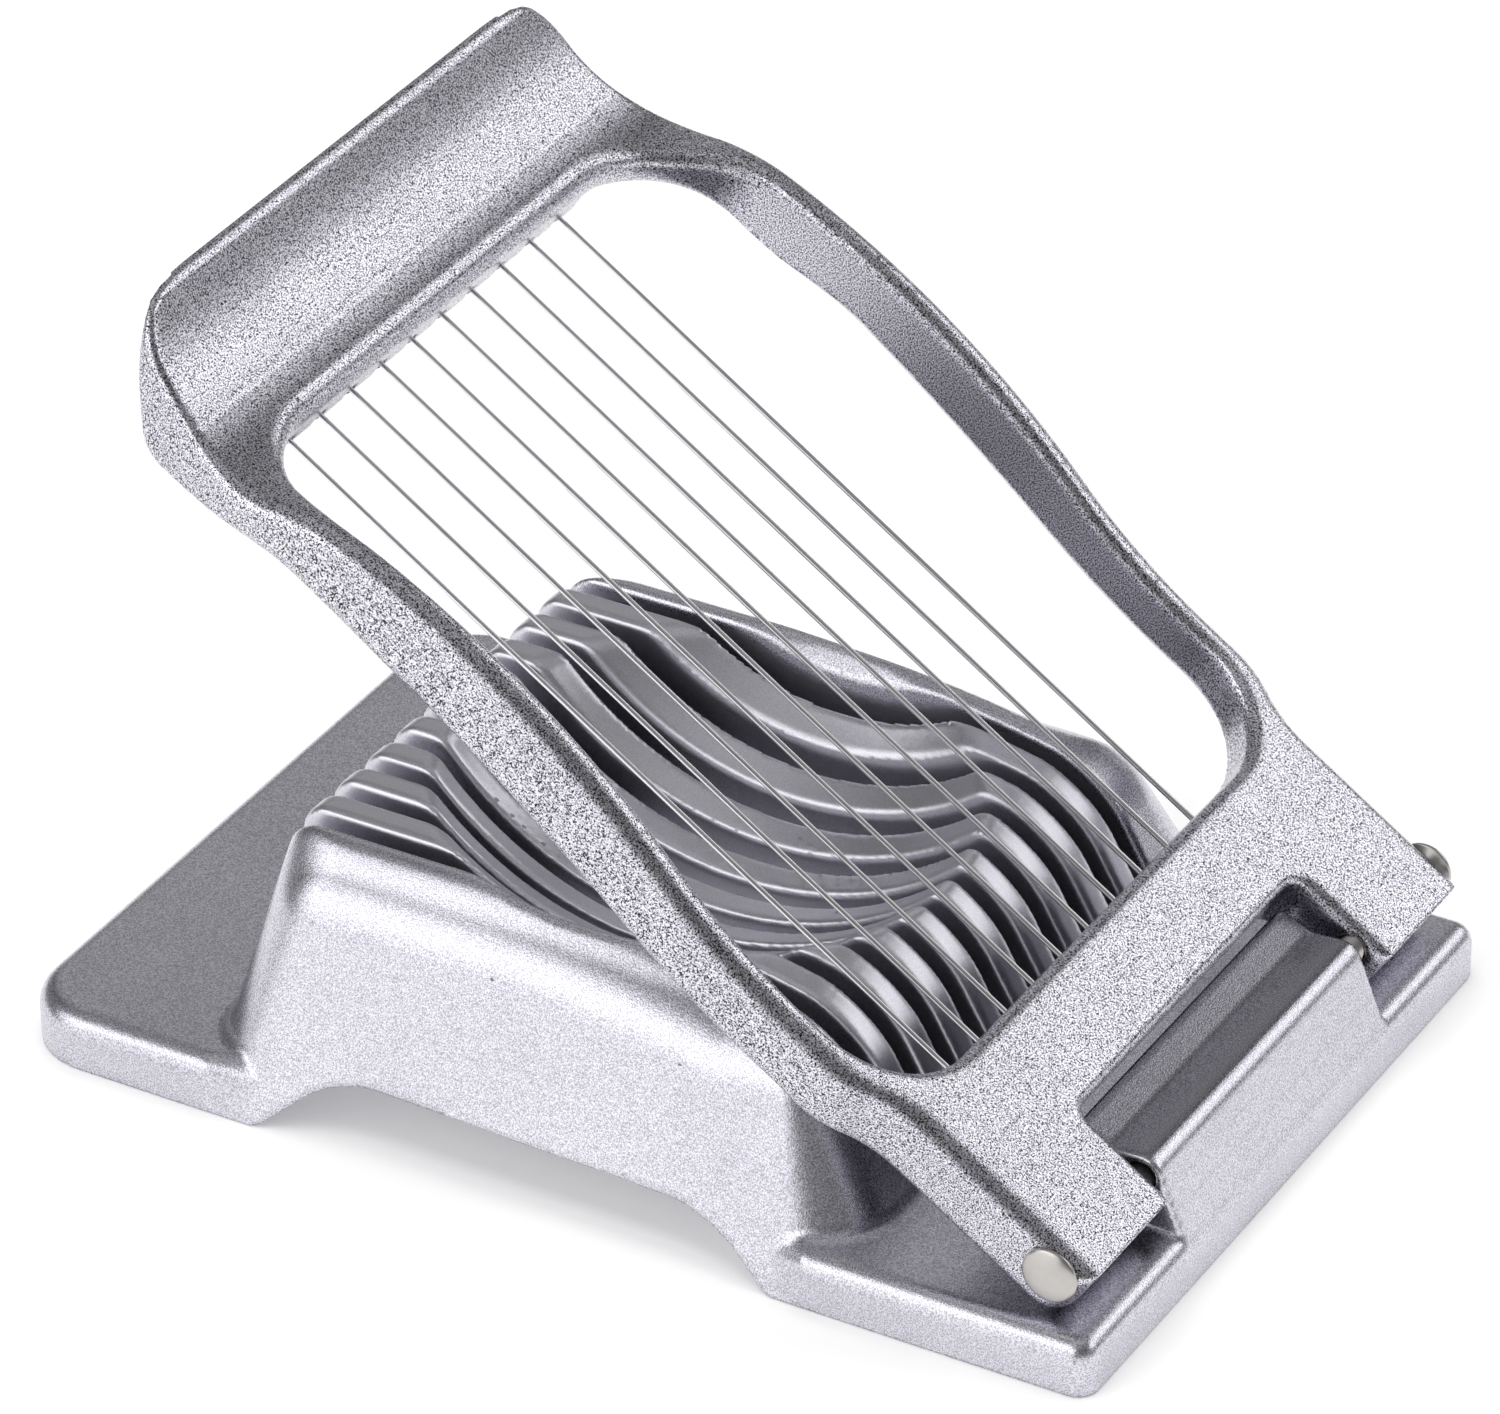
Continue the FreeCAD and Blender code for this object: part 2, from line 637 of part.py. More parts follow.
def make_frame():
    body = new_body("cutting_frame")
    make_frame_blank(body)
    trim_frame(body)
    open_frame(body)
    notch = new_sketch(body, "notch_outline", "XY_Plane")
    notch_half = "(lug_width / 2 + notch_gap)"
    draw(notch, rounded_outline("-notch_front", "2 * ear_end + notch_radius", notch_half,
                                "notch_radius", "notch_radius"))
    pocket(body, notch, "notch", symmetric=True, length="8 * frame_depth")
    round_tip(body)
    soften_frame(body)
    rail = new_sketch(body, "rail_outline", "XY_Plane", "-frame_depth")
    rail_half = "(%s + rail_margin)" % FIRST_WIRE
    rail_front = behind_tip("rail_setback")
    draw(rail, [("start", rail_front, "-" + rail_half),
                ("line", "-" + OPENING_FRONT, "-" + rail_half),
                ("line", "-" + OPENING_FRONT, rail_half),
                ("line", rail_front, rail_half),
                ("line", rail_front, "-" + rail_half)])
    pad(body, rail, "wire_rail", "frame_depth + rail_rise")
    bore = new_sketch(body, "ear_hole", "XZ_Plane")
    draw_circle(bore, "0", "0", "rivet_diameter / 2 + running_clearance")
    pocket(body, bore, "ear_bore", symmetric=True, length="4 * " + FRAME_HALF)
    cut_wire_pockets(body, "rear_pocket", "rear_seat", "+", "opening_rear")
    cut_wire_pockets(body, "front_pocket", FRONT_SEAT, "-", OPENING_FRONT)
    body.Placement = Placement(Vector(0, 0, 0), Rotation(Vector(0, 1, 0), value("raised_angle")))
    bind(body, "Placement.Base.x", HINGE_X)
    bind(body, "Placement.Base.z", "hinge_height")
    bind(body, "Placement.Rotation.Angle", "raised_angle")
    return body


def make_rivet(label, side):
    """Domed hinge rivet, driven through an ear into the lug. Side is -1 right and 1 left."""
    body = new_body(label)
    length = "(%s + head_gap - lug_width / 2 + rivet_depth)" % EAR_HALF
    cap = "(rivet_head_height - rivet_head_rim)"
    cap_radius = "((rivet_head_diameter / 2) ^ 2 + %s ^ 2) / (2 * %s)" % (cap, cap)
    halfway = "rivet_head_diameter / 4"
    halfway_up = "rivet_head_height - %s + sqrt((%s) ^ 2 - (%s) ^ 2)" % (cap_radius, cap_radius, halfway)
    sketch = new_sketch(body, label + "_outline", "XZ_Plane")
    draw(sketch, [("start", "0", "-" + length),
                  ("line", "rivet_diameter / 2", "-" + length),
                  ("line", "rivet_diameter / 2", "0"),
                  ("line", "rivet_head_diameter / 2", "0"),
                  ("line", "rivet_head_diameter / 2", "rivet_head_rim"),
                  ("bend", "0", "rivet_head_height", halfway, halfway_up),
                  ("line", "0", "-" + length)])
    turn = body.newObject("PartDesign::Revolution", label + "_turn")
    turn.Profile = sketch
    turn.ReferenceAxis = (sketch, ["V_Axis"])
    turn.Angle = 360
    body.Placement = Placement(Vector(0, 0, 0), Rotation(Vector(1, 0, 0), -90 * side))
    bind(body, "Placement.Base.x", HINGE_X)
    bind(body, "Placement.Base.y", "%d * (%s + head_gap)" % (side, EAR_HALF))
    bind(body, "Placement.Base.z", "hinge_height")
    return body


def rod(name, radius, height, reach, across):
    """Cylinder along a wire, from a place on the frame towards the handle, that moves with the frame."""
    cylinder = doc.addObject("Part::Cylinder", name)
    bind(cylinder, "Radius", radius)
    bind(cylinder, "Height", height)
    place = "placement(vector(-(%s); %s; -wire_drop); rotation(vector(0; 1; 0); -90))" % (reach, across)
    cylinder.setExpression("Placement", "cutting_frame.Placement * " + bound(place))
    return cylinder


def make_wire(number, across):
    wire = rod("wire_%02d" % number, "wire_diameter / 2",
               FRONT_SEAT + " - rear_seat + 2 * (ferrule_length + wire_tail)",
               "rear_seat - ferrule_length - wire_tail", across)
    return wire


def make_ferrule(label, reach, across):
    """Crimp ferrule: a short sleeve round the end of a wire."""
    sleeve = doc.addObject("Part::Cut", label)
    sleeve.Base = rod(label + "_outside", "ferrule_diameter / 2", "ferrule_length", reach, across)
    bore = "wire_diameter / 2 + seat_clearance"
    sleeve.Tool = rod(label + "_bore", bore, "ferrule_length", reach, across)
    return sleeve


def check_document(parts):
    """Stop if any object failed to build or a part is not one sound solid."""
    for thing in doc.Objects:
        if {"Invalid", "Error"} & set(thing.State):
            raise RuntimeError("%s failed: %s" % (thing.Name, thing.State))
    for part in parts:
        if part.Shape.isNull() or not part.Shape.isValid() or len(part.Shape.Solids) != 1:
            raise RuntimeError("%s is not one sound solid" % part.Label)


parts = [make_base(), make_frame()]
parts.append(make_rivet("hinge_rivet_right", -1))
parts.append(make_rivet("hinge_rivet_left", 1))
for number in range(1, int(value("wire_count")) + 1):
    across = "wire_pitch * %d - %s" % (number - 1, FIRST_WIRE)
    parts.append(make_wire(number, across))
    parts.append(make_ferrule("rear_ferrule_%02d" % number, "rear_seat - ferrule_length", across))
    parts.append(make_ferrule("front_ferrule_%02d" % number, FRONT_SEAT, across))
doc.recompute()
check_document(parts)
os.makedirs("parts", exist_ok=True)
for part in parts:
    part.Shape.Solids[0].exportStep("parts/%s.step" % part.Label)
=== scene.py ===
import math
import bpy
import numpy as np
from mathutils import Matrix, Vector


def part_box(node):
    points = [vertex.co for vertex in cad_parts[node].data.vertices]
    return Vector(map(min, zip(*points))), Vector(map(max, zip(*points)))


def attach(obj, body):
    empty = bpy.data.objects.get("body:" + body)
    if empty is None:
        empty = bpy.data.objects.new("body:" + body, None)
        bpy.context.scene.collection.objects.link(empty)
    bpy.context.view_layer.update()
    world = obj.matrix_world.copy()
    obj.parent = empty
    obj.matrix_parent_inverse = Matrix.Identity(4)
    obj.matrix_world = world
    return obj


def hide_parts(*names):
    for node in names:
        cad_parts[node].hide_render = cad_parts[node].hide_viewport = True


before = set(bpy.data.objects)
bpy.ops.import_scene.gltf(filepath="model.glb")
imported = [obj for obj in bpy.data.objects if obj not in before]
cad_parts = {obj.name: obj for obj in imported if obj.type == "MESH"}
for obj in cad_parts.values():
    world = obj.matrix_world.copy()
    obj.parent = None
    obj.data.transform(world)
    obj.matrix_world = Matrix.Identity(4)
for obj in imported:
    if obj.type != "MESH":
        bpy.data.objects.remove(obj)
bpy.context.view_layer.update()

MM = 0.001

# Sizes are in millimetres. Reach is measured forward from the hinge axis, across from the middle of the
# slicer, and up from the floor on the base or from the hinge axis on the closed frame.
LOW, HIGH = ([corner / MM for corner in point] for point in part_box("base"))
BASE_HALF = (HIGH[1] - LOW[1]) / 2
HINGE_INSET = 4.8
HINGE_X = HIGH[0] - HINGE_INSET
HINGE_HEIGHT = 10.4
BASE_FRONT = HINGE_X - LOW[0]
RAISED_ANGLE = math.radians(34)
WIRE_PITCH = 5.0
WIRE_DROP = 3.2
LAST_WIRE, BEYOND_STEEPNESS = 22.5, 10
PIN_BORE, BORE_EDGE = 1.35, 0.1

# Hinge rivets
RIVET_HALF, RIVET_HEAD_HALF = 1.3, 2.6
RIVET_HEAD, RIVET_RIM, RIVET_EDGE = 1.1, 0.4, 0.3
SHANK_CHAMFER, HEAD_CHAMFER = 0.2, 0.1
RIVET_SIDES, DOME_RINGS, RIM_RINGS = 48, 10, 7

# Feet and egg bed
FOOT_HEIGHT = 5.4
FOOT_EDGE = 1.9
FRONT_CORNER = 7.2
REAR_CORNER = 2.0
BED_FRONT, BED_FRONT_LEAN = 86.1, 0.175
BED_REAR, BED_REAR_LEAN = 15.7, 0.565
BED_SIDE_LEAN = 0.4
BED_HEIGHT = 23.8
BED_FLAT_END = 62.0
BED_FALL_RADIUS = 141.4
BED_FRONT_RADIUS = 7.0
BED_REAR_RADIUS, BED_REAR_TOP_RADIUS = 8.4, 1.6
BED_RIM, REAR_RIM, CHEEK_RIM = 2.2, 4.0, 6.0
REAR_RIM_SPAN, CHEEK_RIM_SPAN = (40.0, 30.0), (28.0, 36.0)
BED_ROOT, LEAST_ROOT = 0.8, 0.05
CRADLE_CENTRE, CRADLE_RADIUS, CRADLE_FLOOR = 51.8, 32.4, 11.0
CRADLE_RIM = 0.9
SLOT_HALF, SLOT_FLOOR, RIB_EDGE = 1.0, 6.0, 0.5
SLOT_FRONT_OVERRUN, SLOT_REAR_OVERRUN = 5.4, 2.0

# Tunnel under the bed
TUNNEL_FRONT, TUNNEL_FRONT_TOP, TUNNEL_FRONT_HEIGHT = 78.1, 71.0, 6.1
TUNNEL_REAR, TUNNEL_REAR_TOP, TUNNEL_REAR_HEIGHT = 26.6, 33.4, 5.2
TUNNEL_CORNER, TUNNEL_EDGE = 2.5, 0.5
FRONT_RUN_IN, REAR_RUN_IN = 5.4, 3.6
RELIEF_HEIGHT, RELIEF_MARGIN, RELIEF_EDGE = 7.0, 4.0, 0.4

# Hinge lug, with its corners seen from the side
LUG_HALF, LUG_FRONT = 19.3, 6.4
LUG_EDGE, LUG_REAR_EDGE, LUG_REAR_BEND, LUG_ROOT = 0.5, 1.3, 0.8, 0.25
LUG_FRONT_TOP = (6.4, 13.9)
LUG_CREASE = (3.0, 12.35)
LUG_REAR_TOP = (-1.4, 12.55)
LUG_FOOT = (-4.8, 3.8)

# Cutting frame
FRAME_HALF = BASE_HALF + 0.5
EAR_HALF = FRAME_HALF - 2.7
EAR_END = 3.1
EAR_ROUND = 3.0
FRAME_RISE, FRAME_DEPTH = 2.3, 4.7
OUTER_EDGE, TIP_EDGE, TIP_EDGE_SPAN = 1.8, 0.9, (88.0, 100.0)
INNER_EDGE, HANDLE_EDGE, HANDLE_EDGE_SPAN = 1.1, 2.0, (82.0, 94.0)
OPENING_REAR, OPENING_FRONT = 18.0, 96.0
OPENING_REAR_RADIUS, OPENING_FRONT_RADIUS = 10.0, 12.0
ARM_WIDTH, ARM_BEVEL, ARM_BEVEL_SPAN = 3.0, 2.6, (86.0, 70.0)
NOTCH_FRONT, NOTCH_HALF, NOTCH_CORNER = 7.8, 20.7, 1.8
RAIL_FRONT, RAIL_HALF, RAIL_TOP, RAIL_EDGE = 103.4, 26.0, 0.6, 0.5
FERRULE_HALF, FERRULE_RUN, POCKET_EDGE = 1.2, 4.4, 0.15
GROOVE_HALF, GROOVE_MARGIN, GROOVE_EDGE = 0.35, 0.9, 0.1
REAR_SEAT, FRONT_SEAT = 12.8, 98.6

# Grids that the castings are meshed on, and how far the frame's grid goes forward and up
SETTLING = 6
BASE_STEP, FRAME_STEP = 0.4, 0.36
FRAME_REACH, FRAME_TOP = 112.6, 6.8
GRID_MARGIN = 1.0

# Finish of the castings: grain in millimetres, and the tint of aluminium
GRAIN_SIZE, GRAIN_RELIEF, GRAIN_DEPTH = 0.14, 0.2, 0.1
GRAIN_STOPS = (0.38, 0.46, 0.54, 0.63)
ROUGHNESS_SPREAD = 0.05
ALUMINIUM_TINT = (1.0, 0.985, 1.08)
SATIN_SHARE, SATIN_COLOUR, SATIN_ROUGHNESS = 0.7, (0.68, 0.67, 0.72, 1), 0.1
# Painted shade: a darker tone multiplied into the colour over the top of the hinge lug
PAINTED_SHADE_TONE = (0.55, 0.55, 0.56, 1)

# Drawing marks on the steel
MARK_TONE, MARK_DEPTH = 0.94, 0.02

# Studio, in metres, with the turn of the camera in degrees and its lens in millimetres
FLOOR_HALF = 3.0
FLOOR_GLOW = 0.25
LAMP_DISTANCE = 1.1
SKY_TONES = [(0.0, 0.3), (0.2, 0.25), (0.5, 0.15), (0.7, 0.18), (0.9, 0.36), (1.0, 0.5)]
CAMERA_PLACE = (0.329887, -0.569697, 0.445263)
CAMERA_TURN = (57.8753, 0.4239, 29.7742)
CAMERA_LENS = 212.7


def round_max(a, b, radius):
    """Overlap of two distance fields with a rounded outside edge."""
    beyond = np.hypot(np.maximum(a + radius, 0), np.maximum(b + radius, 0))
    return np.minimum(np.maximum(a, b), -radius) + beyond


def round_min(a, b, radius):
    """Union of two distance fields with a rounded inside corner."""
    short = np.hypot(np.maximum(radius - a, 0), np.maximum(radius - b, 0))
    return np.maximum(np.minimum(a, b), radius) - short


def cut(solid, hollow, radius):
    """Take a hollow out of a solid and round the edge that is left."""
    return round_max(solid, -hollow, radius)


def ease(low, high, x):
    """Rise smoothly from 0 at low to 1 at high."""
    t = np.clip((x - low) / (high - low), 0, 1)
    return t * t * (3 - 2 * t)


def slope(start, end, along, up):
    """Distance above the line through two points of the side view."""
    run, rise = end[0] - start[0], end[1] - start[1]
    return ((up - start[1]) * run - (along - start[0]) * rise) / math.hypot(run, rise)


def rounded_plan(along, across, low, high, half, low_radius, high_radius):
    """Distance to a rectangle with rounded corners, seen from above."""
    sides = np.abs(across) - half
    return np.maximum(round_max(low - along, sides, low_radius), round_max(along - high, sides, high_radius))


def rotated(vector, angle):
    """A vector of the plane turned to the left by an angle."""
    c, s = math.cos(angle), math.sin(angle)
    return np.array((c * vector[0] - s * vector[1], s * vector[0] + c * vector[1]))


def trace(start, steps, spacing=0.5):
    """Points along an outline. A line goes straight to its end, and an arc sets off along the heading of
    the step before it."""
    points = [np.array(start)]
    heading = None
    for kind, end in steps:
        here, chord = points[-1], np.array(end) - points[-1]
        length = np.linalg.norm(chord)
        if kind == "line":
            heading = chord / length
            points.append(np.array(end))
            continue
        aside = np.array((-heading[1], heading[0]))
        turn = 2 * math.atan2(chord @ aside, chord @ heading)
        centre = here + aside * length ** 2 / (2 * (chord @ aside))
        for share in np.linspace(0, 1, max(4, int(length / spacing)))[1:]:
            points.append(centre + rotated(here - centre, turn * share))
        heading = rotated(heading, turn)
    return np.array(points)


def outline_distance(points, along, up):
    """Distance to a closed outline on a grid of two axes, negative inside."""
    x, y = np.meshgrid(along, up, indexing="ij")
    nearest = np.full(x.shape, np.inf)
    inside = np.zeros(x.shape, bool)
    for (ax, ay), (bx, by) in zip(points, np.roll(points, -1, axis=0)):
        ex, ey = bx - ax, by - ay
        share = np.clip(((x - ax) * ex + (y - ay) * ey) / max(ex * ex + ey * ey, 1e-12), 0, 1)
        nearest = np.minimum(nearest, (x - ax - ex * share) ** 2 + (y - ay - ey * share) ** 2)
        if ay != by:
            inside ^= ((ay <= y) != (by <= y)) & (x < ax + ex * (y - ay) / ey)
    return np.where(inside, -1, 1) * np.sqrt(nearest)


def grid(step, along, across, up):
    """Axes of a grid over half of a symmetric piece, with a margin: along it, across from the middle,
    and up."""
    axes = [np.arange(low - GRID_MARGIN, high + GRID_MARGIN + step, step) for low, high in (along, up)]
    half = np.arange(step / 2, across + GRID_MARGIN + step, step)
    return axes[0], half, axes[1]


def wire_offset(across):
    """Distance from the nearest wire. Beyond the last one it rises steeply, so that nothing is cut there."""
    beyond = np.maximum(across - LAST_WIRE - WIRE_PITCH / 2, 0)
    return np.abs(np.mod(across, WIRE_PITCH) - WIRE_PITCH / 2) + BEYOND_STEEPNESS * beyond


def foot_and_bed_field(r, y, z):
    """Feet of the base and the leaning block of the egg bed on them."""
    stations = (TUNNEL_REAR - REAR_RUN_IN, TUNNEL_REAR, TUNNEL_FRONT, TUNNEL_FRONT + FRONT_RUN_IN)
    run_in = np.interp(r, stations, (0, 1, 1, 0))
    lean = BED_SIDE_LEAN * z * run_in
    plan = rounded_plan(r, y + lean, -HINGE_INSET, BASE_FRONT, BASE_HALF, REAR_CORNER, FRONT_CORNER)
    feet = np.maximum(round_max(plan, z - FOOT_HEIGHT, FOOT_EDGE), -z)

    front = (r - BED_FRONT + BED_FRONT_LEAN * z) / math.hypot(1, BED_FRONT_LEAN)
    rear = (BED_REAR + BED_REAR_LEAN * z - r) / math.hypot(1, BED_REAR_LEAN)
    side = (y - BASE_HALF + BED_SIDE_LEAN * z) / math.hypot(1, BED_SIDE_LEAN)
    fall = np.maximum(BED_FLAT_END - r, 0)
    crown = BED_HEIGHT - BED_FALL_RADIUS + np.sqrt(BED_FALL_RADIUS ** 2 - fall ** 2)
    top = (z - crown) * np.sqrt(1 - (fall / BED_FALL_RADIUS) ** 2)
    corner = np.interp(z, (0, BED_HEIGHT), (BED_REAR_RADIUS, BED_REAR_TOP_RADIUS))
    walls = np.maximum(round_max(side, front, BED_FRONT_RADIUS), round_max(side, rear, corner))
    rim = BED_RIM + (REAR_RIM - BED_RIM) * ease(*REAR_RIM_SPAN, r)
    cheek = ease(LAST_WIRE + SLOT_HALF, LAST_WIRE + WIRE_PITCH, y) * ease(*CHEEK_RIM_SPAN, r)
    rim = rim + (CHEEK_RIM - rim) * cheek
    bed = np.maximum(round_max(walls, top, rim), -z)
    return round_min(feet, bed, BED_ROOT * (1 - run_in) * ease(0, FOOT_HEIGHT, z) + LEAST_ROOT)


def lug_field(r, y, z):
    """Hinge lug of the base, with two facets on top and a leaning rear."""
    facets = np.minimum(slope(LUG_CREASE, LUG_FRONT_TOP, r, z), slope(LUG_REAR_TOP, LUG_CREASE, r, z))
    rear = round_max(slope(LUG_FOOT, LUG_REAR_TOP, r, z), -HINGE_INSET - r, LUG_REAR_BEND)
    line = round_max(round_max(facets, rear, LUG_REAR_EDGE), r - LUG_FRONT, LUG_EDGE)
    return np.maximum(round_max(line, y - LUG_HALF, LUG_EDGE), -z)


def tunnel_field(r, z):
    """Opening under the bed, from side to side."""
    roof = slope((TUNNEL_REAR_TOP, TUNNEL_REAR_HEIGHT), (TUNNEL_FRONT_TOP, TUNNEL_FRONT_HEIGHT), r, z)
    front = slope((TUNNEL_FRONT_TOP, TUNNEL_FRONT_HEIGHT), (TUNNEL_FRONT, 0), r, z)
    rear = slope((TUNNEL_REAR, 0), (TUNNEL_REAR_TOP, TUNNEL_REAR_HEIGHT), r, z)
    return round_max(round_max(roof, front, TUNNEL_CORNER), rear, TUNNEL_CORNER)


def base_field(along, across, up):
    """Base casting: two feet, the leaning egg bed with its cradle and slots, and the hinge lug."""
    r, y, z = np.meshgrid(along, across, up, indexing="ij", sparse=True)
    body = round_min(foot_and_bed_field(r, y, z), lug_field(r, y, z), LUG_ROOT)
    body = np.maximum(body, np.maximum(-z, -HINGE_INSET - r))

    body = cut(body, tunnel_field(r, z), TUNNEL_EDGE)
    relief = rounded_plan(r, y, TUNNEL_REAR_TOP + RELIEF_MARGIN, TUNNEL_FRONT_TOP - RELIEF_MARGIN,
                          LAST_WIRE + SLOT_HALF, TUNNEL_CORNER, TUNNEL_CORNER)
    body = cut(body, np.maximum(relief, z - RELIEF_HEIGHT), RELIEF_EDGE)
    centre_height = CRADLE_FLOOR + CRADLE_RADIUS
    cradle = np.sqrt((r - CRADLE_CENTRE) ** 2 + y ** 2 + (z - centre_height) ** 2) - CRADLE_RADIUS
    body = cut(body, cradle, CRADLE_RIM)
    slots = np.maximum(wire_offset(y) - SLOT_HALF, SLOT_FLOOR - z)
    ends = np.maximum(r - BED_FRONT - SLOT_FRONT_OVERRUN, BED_REAR - SLOT_REAR_OVERRUN - r)
    body = cut(body, np.maximum(slots, ends), RIB_EDGE)
    return cut(body, np.hypot(r, z - HINGE_HEIGHT) - PIN_BORE, BORE_EDGE)


def frame_side_line():
    """Side view of the frame: its upper line from ear to tip, then its lower line back to the ear."""
    start = (-EAR_END, FRAME_RISE)
    upper = [("line", (29.0, FRAME_RISE)), ("arc", (46.0, 4.5)), ("arc", (84.0, 6.7)), ("arc", (91.5, 4.0)),
             ("arc", (97.0, 2.0)), ("arc", (102.0, 2.0)), ("arc", (110.8, 5.35)), ("arc", (112.35, 5.5))]
    lower = [("line", (105.2, -3.08)), ("arc", (101.5, -4.2)), ("arc", (94.0, -1.7)), ("arc", (86.0, -0.3)),
             ("arc", (45.85, -3.51)), ("arc", (31.0, -FRAME_DEPTH)),
             ("line", (EAR_ROUND - EAR_END, -FRAME_DEPTH)), ("arc", (-EAR_END, EAR_ROUND - FRAME_DEPTH))]
    return trace(start, upper + lower), len(trace(start, upper)) - 1


def frame_plan_line():
    """Plan of the frame: ears, necks, arms and the tapering handle with its round corners."""
    side = trace((-2 * EAR_END, EAR_HALF), [
        ("line", (15.5, EAR_HALF)), ("arc", (20.65, (EAR_HALF + FRAME_HALF) / 2)),
        ("arc", (25.8, FRAME_HALF)), ("line", (90.0, FRAME_HALF)), ("arc", (95.5, FRAME_HALF - 0.9)),
        ("arc", (101.5, FRAME_HALF - 2.85)), ("arc", (106.8, FRAME_HALF - 4.1)),
        ("arc", (112.4, FRAME_HALF - 10.0)), ("line", (113.4, FRAME_HALF - 14.0))])
    return np.concatenate((side, side[::-1] * (1, -1)))


def frame_field(along, across, up):
    """Cutting frame casting in its own closed position."""
    r, y, z = np.meshgrid(along, across, up, indexing="ij", sparse=True)
    side_line, tip = frame_side_line()
    side = outline_distance(side_line, along, up)[:, None, :]
    plan = outline_distance(frame_plan_line(), along, across)[:, :, None]
    body = round_max(side, plan, OUTER_EDGE + (TIP_EDGE - OUTER_EDGE) * ease(*TIP_EDGE_SPAN, r))

    lower = side_line[tip:][::-1]
    sole = np.interp(along, lower[:, 0], lower[:, 1])[:, None, None]
    opening = rounded_plan(r, y, OPENING_REAR, OPENING_FRONT, FRAME_HALF - ARM_WIDTH,
                           OPENING_REAR_RADIUS, OPENING_FRONT_RADIUS)
    flare = (opening - ARM_BEVEL * ease(*ARM_BEVEL_SPAN, r) + z - sole) / math.sqrt(2)
    edge = INNER_EDGE + (HANDLE_EDGE - INNER_EDGE) * ease(*HANDLE_EDGE_SPAN, r)
    body = cut(body, np.minimum(opening, flare), edge)
    notch = rounded_plan(r, y, -2 * OPENING_REAR, NOTCH_FRONT, NOTCH_HALF, NOTCH_CORNER, NOTCH_CORNER)
    body = cut(body, notch, INNER_EDGE)

    rail_middle, rail_run = (OPENING_FRONT + RAIL_FRONT) / 2, (RAIL_FRONT - OPENING_FRONT) / 2
    rail = np.maximum(np.abs(r - rail_middle) - rail_run, y - RAIL_HALF)
    rail = round_max(rail, np.maximum(-FRAME_DEPTH - z, z - RAIL_TOP), RAIL_EDGE)
    body = round_min(body, rail, RAIL_EDGE)
    from_wire = np.maximum(wire_offset(y), z + WIRE_DROP)
    for seat, back, rim in ((REAR_SEAT, REAR_SEAT - FERRULE_RUN, OPENING_REAR + GROOVE_MARGIN),
                            (FRONT_SEAT, FRONT_SEAT + FERRULE_RUN, OPENING_FRONT - GROOVE_MARGIN)):
        pocket = np.abs(r - (seat + back) / 2) - abs(seat - back) / 2
        body = cut(body, np.maximum(pocket, from_wire - FERRULE_HALF), POCKET_EDGE)
        groove = np.abs(r - (seat + rim) / 2) - abs(seat - rim) / 2
        body = cut(body, np.maximum(groove, from_wire - GROOVE_HALF), GROOVE_EDGE)
    return cut(body, np.hypot(r, z) - PIN_BORE, BORE_EDGE)


def blend(pair, share):
    """Value between the two of a pair."""
    return pair[0] * (1 - share) + pair[1] * share


def skin(field, axes):
    """Points and faces of the zero surface of a field over half of a symmetric piece. Each point starts in
    the middle of its cell and settles on the surface."""
    field = np.concatenate((field[:, ::-1], field), axis=1).astype(np.float32)
    along, half, up = axes
    low = np.array((along[0], -half[-1], up[0]))
    step = along[1] - along[0]
    inside = field < 0
    sizes = [size - 1 for size in field.shape]
    count = np.zeros(sizes, np.int8)
    for corner in np.ndindex(2, 2, 2):
        count += inside[tuple(slice(first, first + size) for first, size in zip(corner, sizes))]
    cells = np.argwhere((count > 0) & (count < 8))
    number = np.full(count.shape, -1, np.int32)
    number[tuple(cells.T)] = np.arange(len(cells))

    i, j, k = cells.T
    corners = np.array([[[field[i + a, j + b, k + c] for c in (0, 1)] for b in (0, 1)] for a in (0, 1)])
    place = np.full((3, len(cells)), 0.5)
    for _ in range(SETTLING):
        height = blend(blend(blend(corners, place[0]), place[1]), place[2])
        rise = np.array((blend(blend(corners[1] - corners[0], place[1]), place[2]),
                         blend(blend(corners[:, 1] - corners[:, 0], place[0]), place[2]),
                         blend(blend(corners[:, :, 1] - corners[:, :, 0], place[0]), place[1])))
        place = np.clip(place - height * rise / np.maximum((rise ** 2).sum(axis=0), 1e-9), 0, 1)
    points = low + step * (cells + place.T)

    faces = []
    ahead = np.eye(3, dtype=int)
    for axis in range(3):
        one, two = ahead[(axis + 1) % 3], ahead[(axis + 2) % 3]
        span = [slice(1, -1)] * 3
        span[axis] = slice(0, -1)
        shifted = list(span)
        shifted[axis] = slice(1, None)
        crossed = inside[tuple(span)] != inside[tuple(shifted)]
        edges = np.argwhere(crossed) + 1 - ahead[axis]
        around = (0 * one, one, one + two, two)
        quad = np.stack([number[tuple((edges - back).T)] for back in around], axis=1)
        leaving = inside[tuple(edges.T)]
        faces.append(np.where(leaving[:, None], quad, quad[:, ::-1]))
    return points, np.concatenate(faces)


